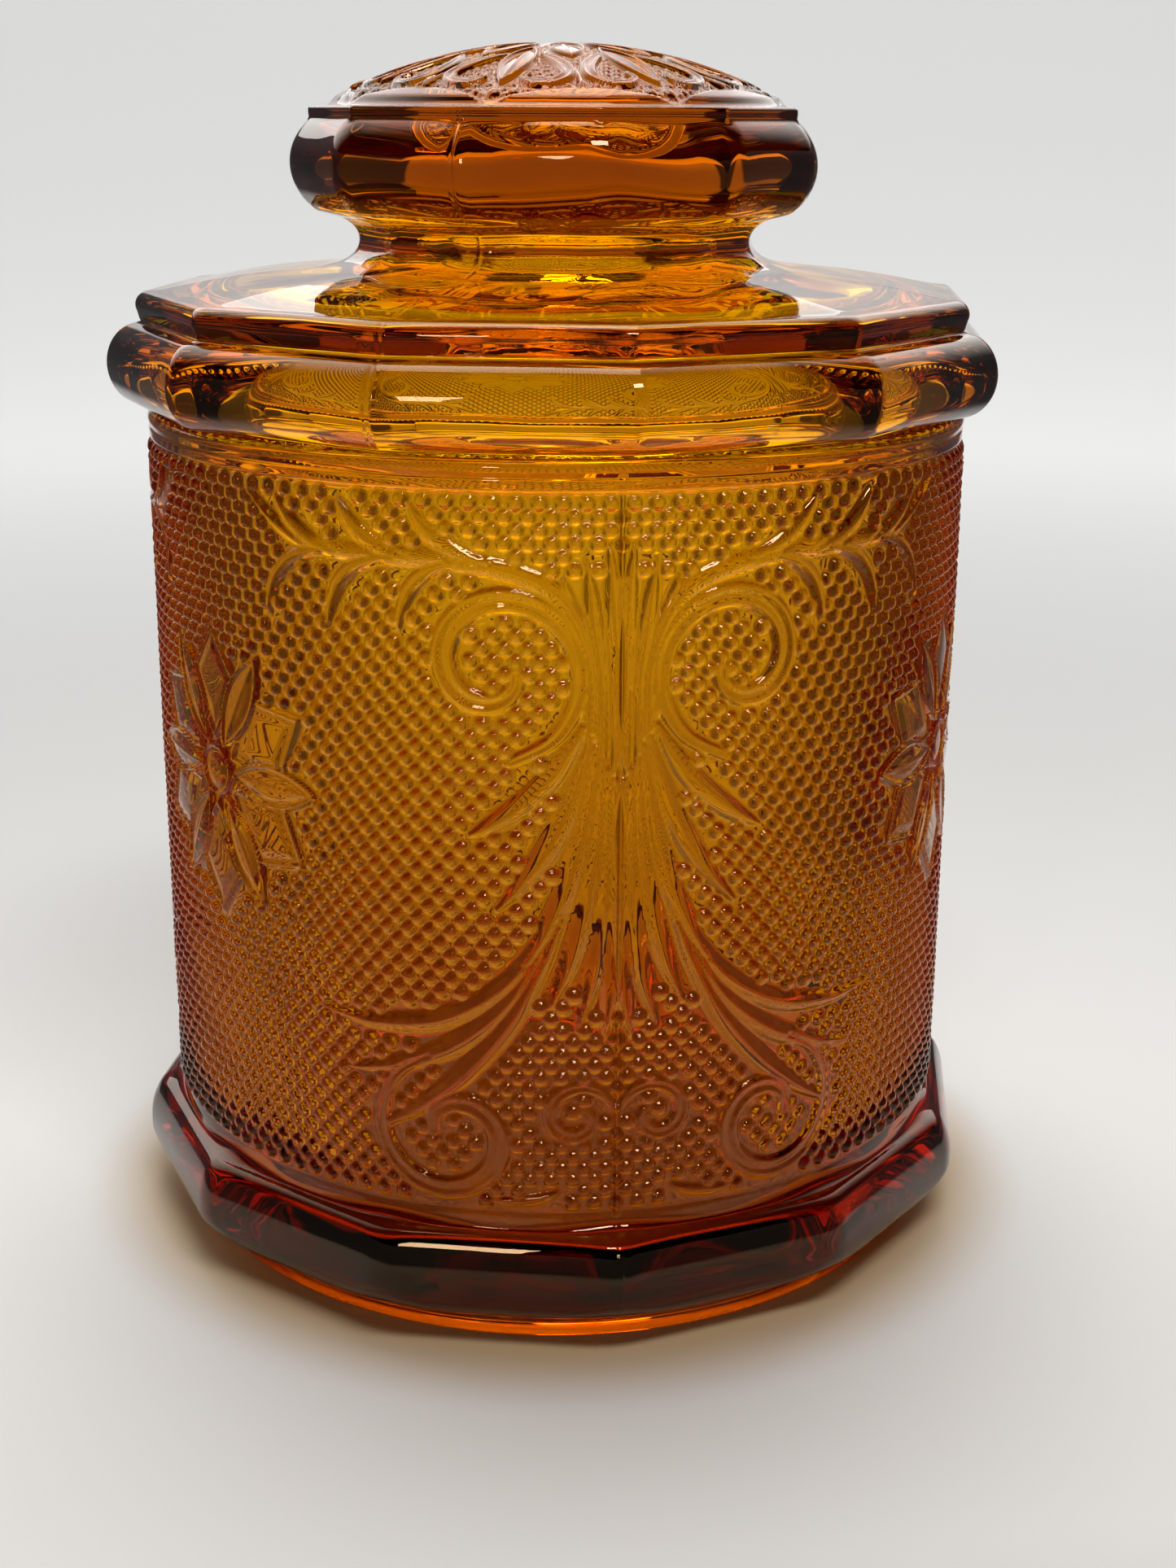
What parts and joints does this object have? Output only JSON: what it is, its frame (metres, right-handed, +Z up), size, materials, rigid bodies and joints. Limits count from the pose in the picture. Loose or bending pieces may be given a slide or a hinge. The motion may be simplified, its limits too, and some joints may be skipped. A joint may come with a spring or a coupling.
{
  "type": "apothecary jar",
  "caption": "Round amber pressed-glass apothecary jar with beaded and scrolled relief, a faceted foot, and a lift-off faceted lid with a wide domed knob.",
  "frame": {"origin": "centre of the base, on the surface that the jar stands on", "axes": "+Z up along the jar's axis; -Y is the front, where a mould seam runs through the middle of one of the three moulded motifs; +X is to the right as seen from the front"},
  "size_m": [0.1552, 0.1552, 0.2067],
  "materials": {
    "jar_glass": "pressed, fire-polished amber glass with moulded relief",
    "lid_glass": "pressed, fire-polished amber glass, smooth panels"
  },
  "bodies": {
    "jar": {"jar": "jar_glass"},
    "lid": {"lid": "lid_glass"}
  },
  "joints": [
    {"name": "lid_lift", "type": "slide", "parent": "jar", "child": "lid", "axis": [0, 0, 1], "range_m": [0, 0.06]}
  ]
}
